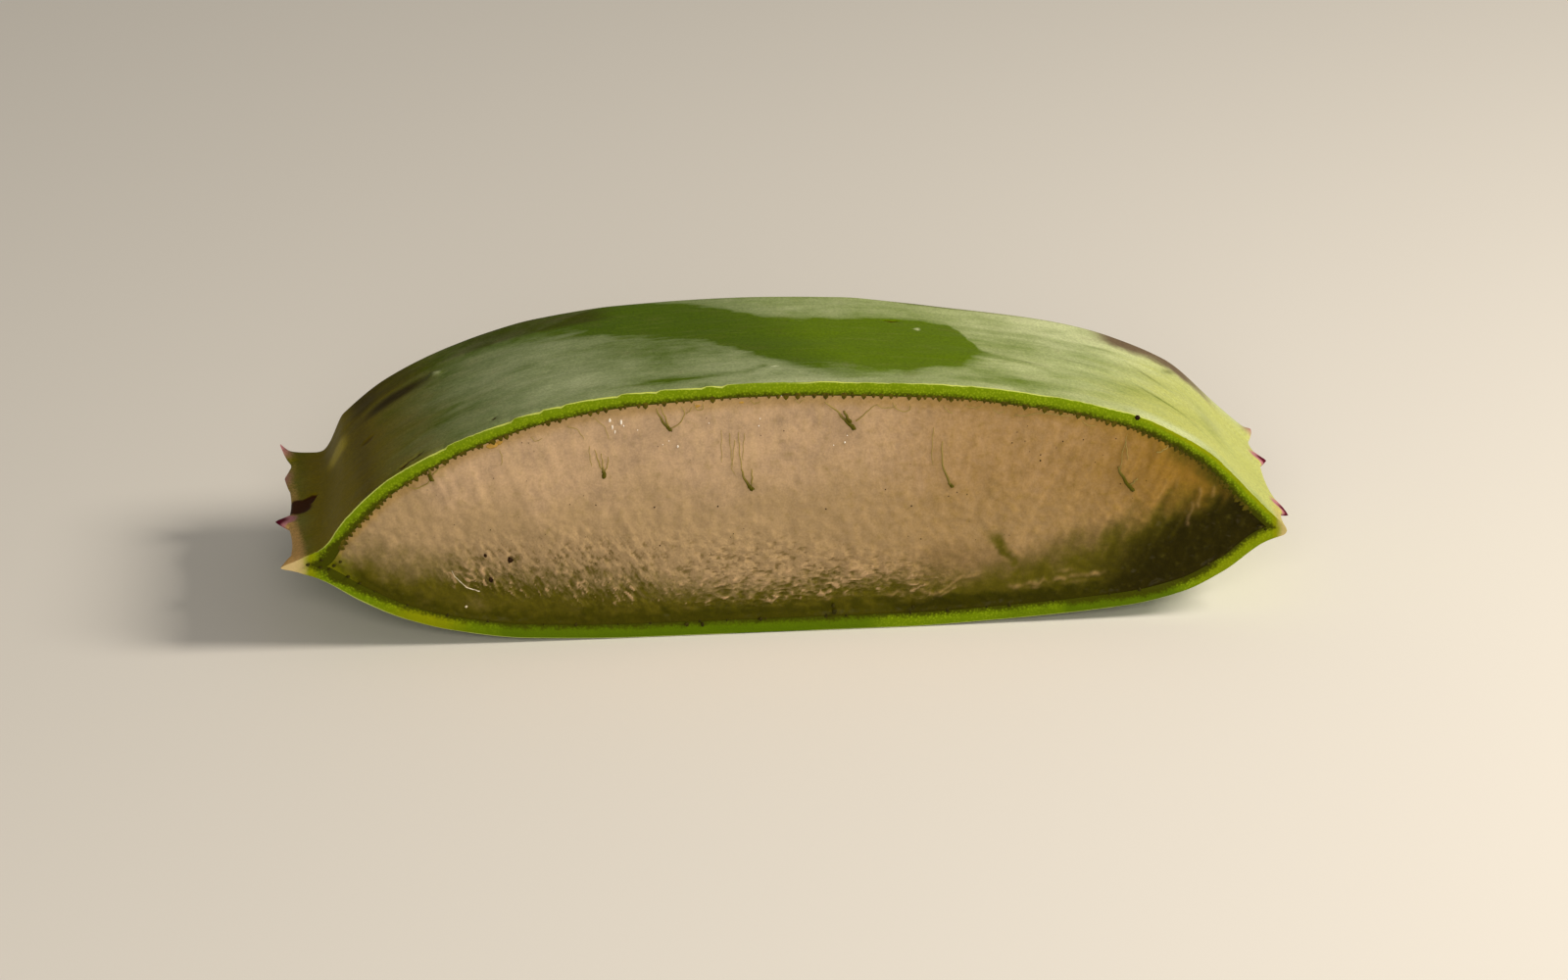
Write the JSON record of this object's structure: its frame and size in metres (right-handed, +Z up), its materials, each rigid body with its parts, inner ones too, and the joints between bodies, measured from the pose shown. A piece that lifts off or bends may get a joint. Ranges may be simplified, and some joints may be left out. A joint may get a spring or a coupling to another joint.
{
  "type": "aloe vera leaf slice",
  "caption": "Thick cross slice of a succulent leaf, lying flat side down: green skin with scalloped toothed margins round a clear wet gel core.",
  "frame": {"origin": "middle of the bounding box at the height of the surface that the slice lies on", "axes": "+X across the leaf from the left margin to the right one, +Y along the leaf from the near square cut to the far cut, +Z up from the flatter side to the dome"},
  "size_m": [0.083, 0.024, 0.0216],
  "materials": {
    "rind": "fresh leaf skin with a thin grey waxy bloom, rubbed glossy in places, pale cream margins",
    "gel": "wet, clear, faintly pinkish beige leaf gel, freshly cut",
    "strand": "damp dark green plant fibre",
    "latex": "dried yellow leaf sap",
    "hair": "fine white fibre"
  },
  "bodies": {
    "root": {"rind": "rind", "gel": "gel"}
  },
  "joints": []
}
